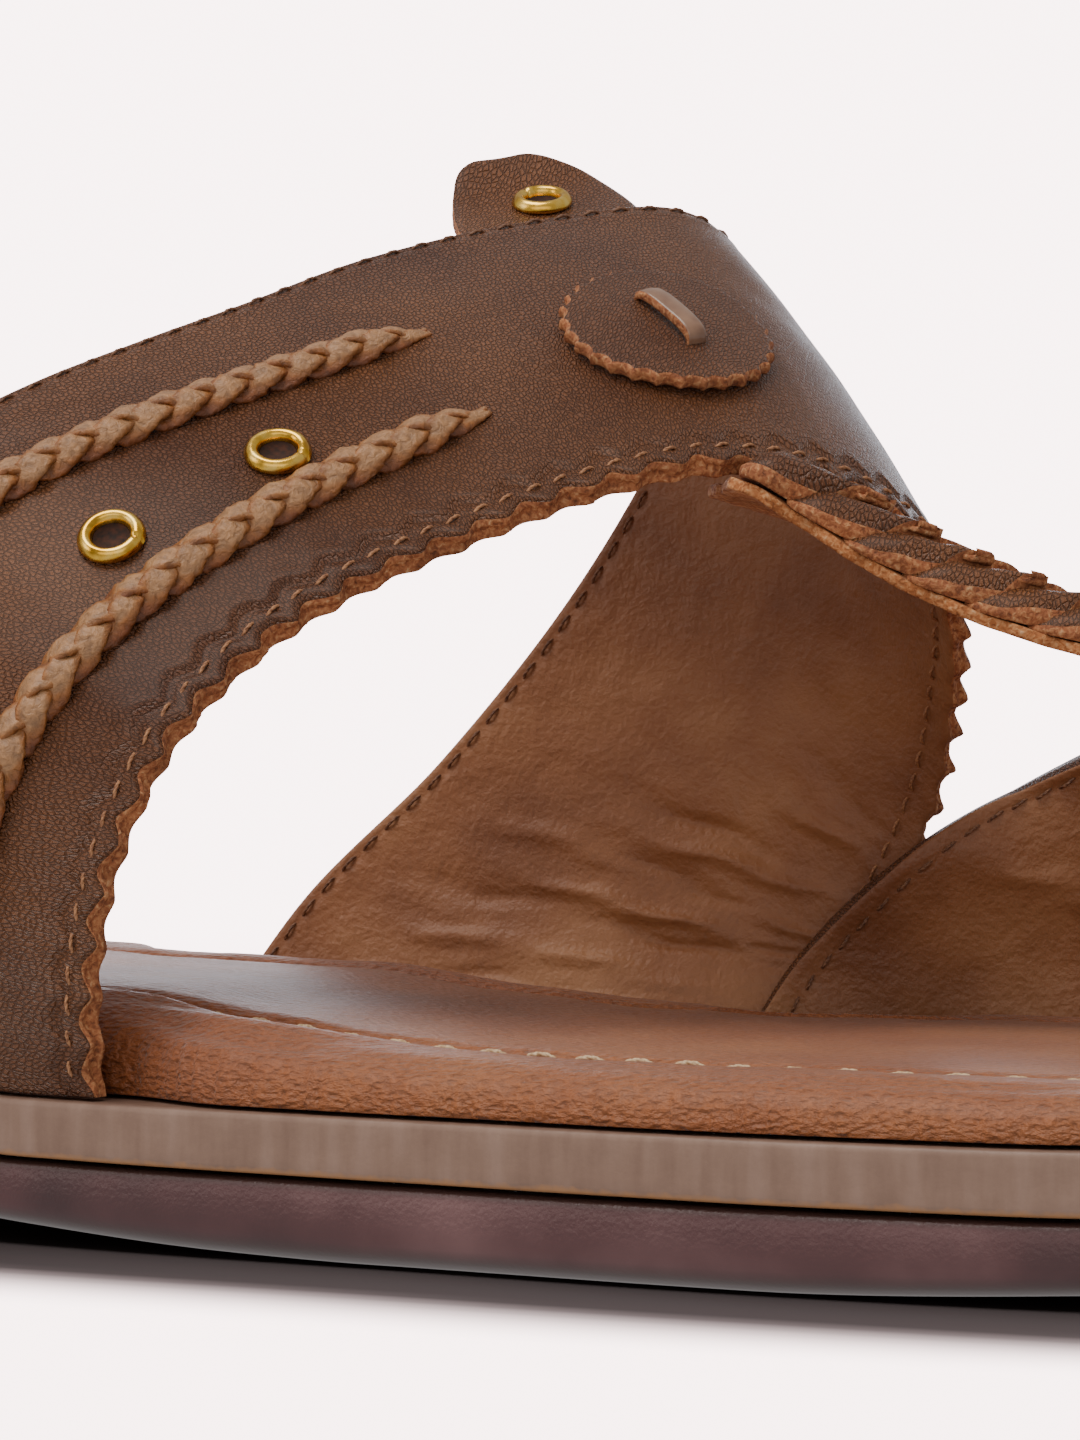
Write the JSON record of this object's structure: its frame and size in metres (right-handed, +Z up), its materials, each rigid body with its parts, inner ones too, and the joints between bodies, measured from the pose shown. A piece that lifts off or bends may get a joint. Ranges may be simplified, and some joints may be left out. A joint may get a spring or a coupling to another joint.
{
  "type": "toe ring sandal",
  "caption": "Open leather slide for the right foot: a broad pinked instep strap, a toe ring joined to it by a laced strip, and a padded footbed on a low heeled sole.",
  "frame": {"origin": "under the middle of the sole, on the floor that the heel and the ball of the sole stand on", "axes": "+X toward the toe, +Y toward the inner (medial) side of the foot, +Z up"},
  "size_m": [0.296, 0.1034, 0.0983],
  "materials": {
    "outsole": "satin wine-red moulded rubber",
    "midsole": "painted edge of leather board",
    "insole": "soft tan leather over foam",
    "instep_strap": "brown grained leather, satin",
    "toe_ring_band": "brown grained leather, satin",
    "strip_base": "raw leather edge",
    "strip_plait": "folded brown thongs",
    "plait_outer_upper": "plaited leather cord",
    "plait_outer_lower": "plaited leather cord",
    "plait_inner_upper": "plaited leather cord",
    "plait_inner_lower": "plaited leather cord",
    "eyelet_outer_1": "polished",
    "eyelet_outer_2": "polished",
    "eyelet_inner_1": "polished",
    "eyelet_inner_2": "polished",
    "eyelet_tab": "polished",
    "disc": "brown leather with a raw edge",
    "disc_thong": "brown leather",
    "rear_tab": "smooth brown leather with a raw edge"
  },
  "bodies": {
    "root": {"outsole": "outsole", "midsole": "midsole", "insole": "insole", "instep_strap": "instep_strap", "toe_ring_band": "toe_ring_band", "strip_base": "strip_base", "strip_plait": "strip_plait", "plait_outer_upper": "plait_outer_upper", "plait_outer_lower": "plait_outer_lower", "plait_inner_upper": "plait_inner_upper", "plait_inner_lower": "plait_inner_lower", "eyelet_outer_1": "eyelet_outer_1", "eyelet_outer_2": "eyelet_outer_2", "eyelet_inner_1": "eyelet_inner_1", "eyelet_inner_2": "eyelet_inner_2", "eyelet_tab": "eyelet_tab", "disc": "disc", "disc_thong": "disc_thong", "rear_tab": "rear_tab"}
  },
  "joints": []
}
